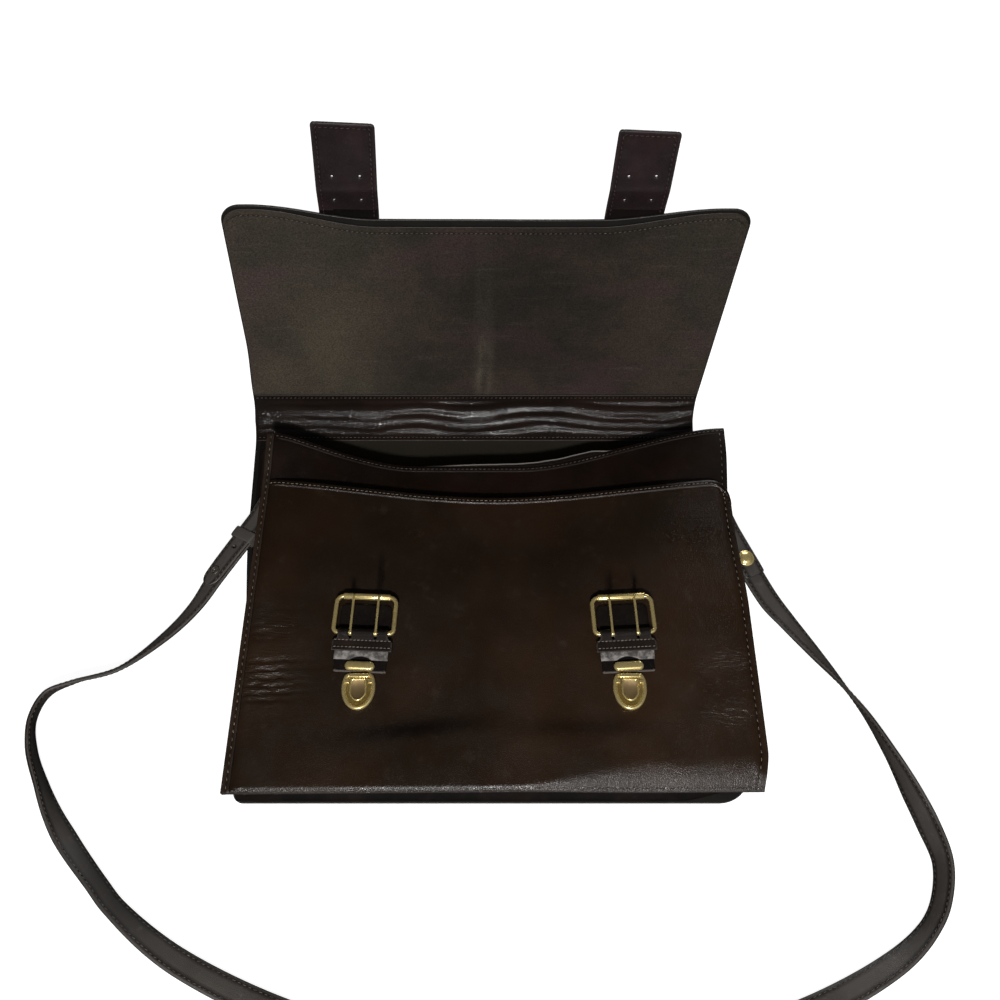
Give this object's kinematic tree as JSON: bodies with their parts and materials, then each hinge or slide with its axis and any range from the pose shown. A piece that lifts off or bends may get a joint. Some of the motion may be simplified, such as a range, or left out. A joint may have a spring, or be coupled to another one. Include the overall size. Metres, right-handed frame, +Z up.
{
  "type": "leather messenger bag",
  "caption": "Leather satchel lying open on its back, flap raised, front pocket, buckles over push locks, flat shoulder strap looped round the front.",
  "frame": {"origin": "middle of the back's outer face, which lies on the floor", "axes": "+X to the right across the bag, +Y from its bottom edge towards the mouth and the flap, +Z up from the floor through the front"},
  "size_m": [0.7049, 0.5773, 0.3062],
  "materials": {
    "hide": "polished dark brown, worn",
    "smooth_hide": "glossy dark brown",
    "suede": "matt suede, mottled",
    "lining": "matt",
    "strap_hide": "satin grey-brown",
    "brass": "polished",
    "dark_metal": "tarnished"
  },
  "bodies": {
    "bag": {"back_and_flap": "hide", "flap_lining": "suede", "back_lining": "lining", "hinge_band": "smooth_hide", "divider": "hide", "front_panel": "hide", "edge_strip": "hide", "side_gusset_left": "hide", "side_gusset_right": "hide", "bottom_gusset": "hide", "lock_tab_left": "hide", "buckle_chape_left": "hide", "lock_hasp_left": "brass", "lock_plate_left": "brass", "flap_strap_left": "hide", "lock_tab_right": "hide", "buckle_chape_right": "hide", "lock_hasp_right": "brass", "lock_plate_right": "brass", "flap_strap_right": "hide", "shoulder_strap": "strap_hide", "strap_fold_left": "strap_hide", "strap_fold_right": "strap_hide", "strap_keeper": "strap_hide", "strap_stud": "dark_metal", "strap_rivet": "brass", "side_ring_left": "brass", "side_ring_right": "brass", "side_tab_left": "hide", "side_tab_right": "hide"},
    "buckle_left": {"buckle_frame_left": "brass"},
    "roller_left": {"buckle_roller_left": "brass"},
    "tongue_left_west": {"buckle_tongue_left_west": "brass"},
    "tongue_left_east": {"buckle_tongue_left_east": "brass"},
    "latch_left": {"lock_latch_left": "brass"},
    "buckle_right": {"buckle_frame_right": "brass"},
    "roller_right": {"buckle_roller_right": "brass"},
    "tongue_right_west": {"buckle_tongue_right_west": "brass"},
    "tongue_right_east": {"buckle_tongue_right_east": "brass"},
    "latch_right": {"lock_latch_right": "brass"}
  },
  "joints": [
    {"name": "buckle_left_swing", "type": "hinge", "parent": "bag", "child": "buckle_left", "pos_m": [-0.10334, -0.03553, 0.0456], "axis": [0.999, -0.0436, 0], "range_deg": [0, 70]},
    {"name": "roller_left_spin", "type": "hinge", "parent": "buckle_left", "child": "roller_left", "pos_m": [-0.10199, -0.00456, 0.0456], "axis": [0.999, -0.0436, 0], "continuous": true},
    {"name": "tongue_left_west_swing", "type": "hinge", "parent": "buckle_left", "child": "tongue_left_west", "pos_m": [-0.10334, -0.03553, 0.0456], "axis": [0.999, -0.0436, 0], "range_deg": [0, 70]},
    {"name": "tongue_left_east_swing", "type": "hinge", "parent": "buckle_left", "child": "tongue_left_east", "pos_m": [-0.10334, -0.03553, 0.0456], "axis": [0.999, -0.0436, 0], "range_deg": [0, 70]},
    {"name": "latch_left_slide", "type": "slide", "parent": "bag", "child": "latch_left", "axis": [0, -1, 0], "range_m": [0, 0.0024], "stiffness_N_per_m": 400},
    {"name": "buckle_right_swing", "type": "hinge", "parent": "bag", "child": "buckle_right", "pos_m": [0.10311, -0.03554, 0.0456], "axis": [0.9986, 0.0523, 0], "range_deg": [0, 70]},
    {"name": "roller_right_spin", "type": "hinge", "parent": "buckle_right", "child": "roller_right", "pos_m": [0.10149, -0.00458, 0.0456], "axis": [0.9986, 0.0523, 0], "continuous": true},
    {"name": "tongue_right_west_swing", "type": "hinge", "parent": "buckle_right", "child": "tongue_right_west", "pos_m": [0.10311, -0.03554, 0.0456], "axis": [0.9986, 0.0523, 0], "range_deg": [0, 70]},
    {"name": "tongue_right_east_swing", "type": "hinge", "parent": "buckle_right", "child": "tongue_right_east", "pos_m": [0.10311, -0.03554, 0.0456], "axis": [0.9986, 0.0523, 0], "range_deg": [0, 70]},
    {"name": "latch_right_slide", "type": "slide", "parent": "bag", "child": "latch_right", "axis": [0, -1, 0], "range_m": [0, 0.0024], "stiffness_N_per_m": 400}
  ]
}
